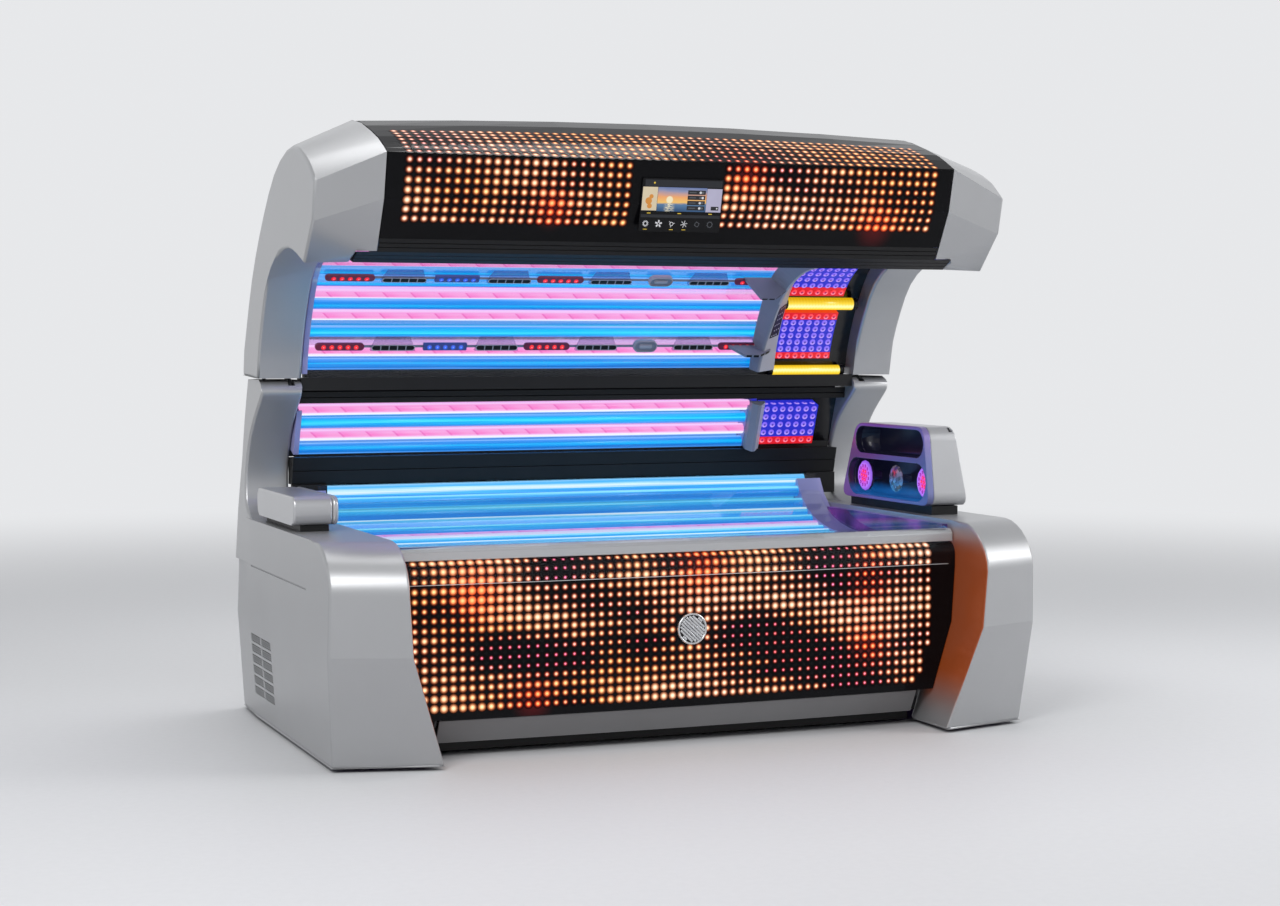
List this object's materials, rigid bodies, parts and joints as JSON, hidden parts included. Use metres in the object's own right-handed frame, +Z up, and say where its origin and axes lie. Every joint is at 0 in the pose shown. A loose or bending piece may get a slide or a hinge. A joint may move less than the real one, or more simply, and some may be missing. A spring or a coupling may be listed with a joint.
{
  "type": "clamshell tanning bed",
  "caption": "Clamshell tanning bed with a lamp bench, a lamp wall, a hinged lamp canopy on two end pods, a head-end console and dotted light panels.",
  "frame": {"origin": "on the floor under the middle of the bed's bounding box", "axes": "+X along the bed to the head end, -Y out of the side the guest enters from, +Z up"},
  "size_m": [2.36, 1.4, 1.9661],
  "materials": {
    "silver_shell": "satin metallic silver lacquer",
    "gloss_black": "high gloss",
    "satin_black": "satin",
    "trim_silver": "matt anodised",
    "kick_grey": "satin grey",
    "bright_steel": "polished",
    "clear_acrylic": "clear",
    "crystal": "clear",
    "reflector_sheet": "bright rolled",
    "lamp_tube": "lit tube",
    "yellow_tube": "lit tube",
    "head_light": "lit panel",
    "console_light": "lit lens",
    "divider_grey": "satin grey",
    "circuit_board": "solder mask",
    "frame_steel": "powder coat",
    "foot_rubber": "matt"
  },
  "bodies": {
    "base": {"right_end_pod": "silver_shell", "left_end_pod": "silver_shell", "console_shell": "silver_shell", "console_face": "silver_shell", "foot_box_shell": "silver_shell", "foot_box_cap": "silver_shell", "front_panel": "gloss_black", "toe_board": "satin_black", "wall_bottom_rail": "satin_black", "wall_top_rail": "satin_black", "back_panel": "satin_black", "console_base": "satin_black", "foot_box_base": "satin_black", "fan_housing": "satin_black", "bench_trim": "trim_silver", "kick_plate": "kick_grey", "panel_medallion": "bright_steel", "bench_acrylic": "clear_acrylic", "wall_cover": "clear_acrylic", "console_crystal": "crystal", "bench_reflector": "reflector_sheet", "wall_reflector": "reflector_sheet", "bench_lamp_bank": "lamp_tube", "wall_lamp_bank": "lamp_tube", "wall_led_board": "head_light", "console_light_rear": "console_light", "console_light_front": "console_light", "wall_divider": "divider_grey", "front_led_board": "circuit_board", "base_frame": "frame_steel", "ballast_tray": "frame_steel", "right_hinge_pin": "bright_steel", "left_hinge_pin": "bright_steel", "levelling_foot_front_left": "foot_rubber", "levelling_foot_front_right": "foot_rubber", "levelling_foot_rear_left": "foot_rubber", "levelling_foot_rear_right": "foot_rubber"},
    "canopy": {"right_canopy_cheek": "silver_shell", "left_canopy_cheek": "silver_shell", "canopy_roof": "gloss_black", "canopy_fascia": "gloss_black", "canopy_led_board": "circuit_board", "canopy_front_rail": "satin_black", "control_display": "gloss_black", "canopy_reflector": "reflector_sheet", "canopy_lamp_bank": "lamp_tube", "canopy_cover": "clear_acrylic", "canopy_rear_rail": "satin_black", "module_row_rear": "divider_grey", "module_row_front": "divider_grey", "head_divider": "divider_grey", "head_light_lower": "head_light", "head_light_upper": "head_light", "head_lamp_bank": "yellow_tube", "canopy_frame": "frame_steel"},
    "fan_rotor": {"fan_rotor": "satin_black"},
    "right_lift_barrel": {"right_lift_barrel": "frame_steel"},
    "left_lift_barrel": {"left_lift_barrel": "frame_steel"},
    "right_lift_rod": {"right_lift_rod": "bright_steel"},
    "left_lift_rod": {"left_lift_rod": "bright_steel"}
  },
  "joints": [
    {"name": "canopy_hinge", "type": "hinge", "parent": "base", "child": "canopy", "pos_m": [0, 0.395, 1.087], "axis": [1, 0, 0], "range_deg": [0, 35]},
    {"name": "fan_spin", "type": "hinge", "parent": "base", "child": "fan_rotor", "pos_m": [-1.085, 0.295, 0.2004], "axis": [1, 0, 0], "continuous": true},
    {"name": "right_lift_swing", "type": "hinge", "parent": "base", "child": "right_lift_barrel", "pos_m": [1.105, 0.592, 0.83], "axis": [1, 0, 0], "range_deg": [0, 10]},
    {"name": "right_lift_stroke", "type": "slide", "parent": "right_lift_barrel", "child": "right_lift_rod", "axis": [0, -0.1935, 0.9811], "range_m": [0, 0.08]},
    {"name": "left_lift_swing", "type": "hinge", "parent": "base", "child": "left_lift_barrel", "pos_m": [-1.105, 0.592, 0.83], "axis": [1, 0, 0], "range_deg": [0, 10]},
    {"name": "left_lift_stroke", "type": "slide", "parent": "left_lift_barrel", "child": "left_lift_rod", "axis": [0, -0.1935, 0.9811], "range_m": [0, 0.08]}
  ],
  "couplings": [
    {"joint": "right_lift_swing", "follows": "canopy_hinge", "ratio": 0.263},
    {"joint": "right_lift_stroke", "follows": "canopy_hinge", "m_per_rad": 0.1241},
    {"joint": "left_lift_swing", "follows": "canopy_hinge", "ratio": 0.263},
    {"joint": "left_lift_stroke", "follows": "canopy_hinge", "m_per_rad": 0.1241}
  ]
}
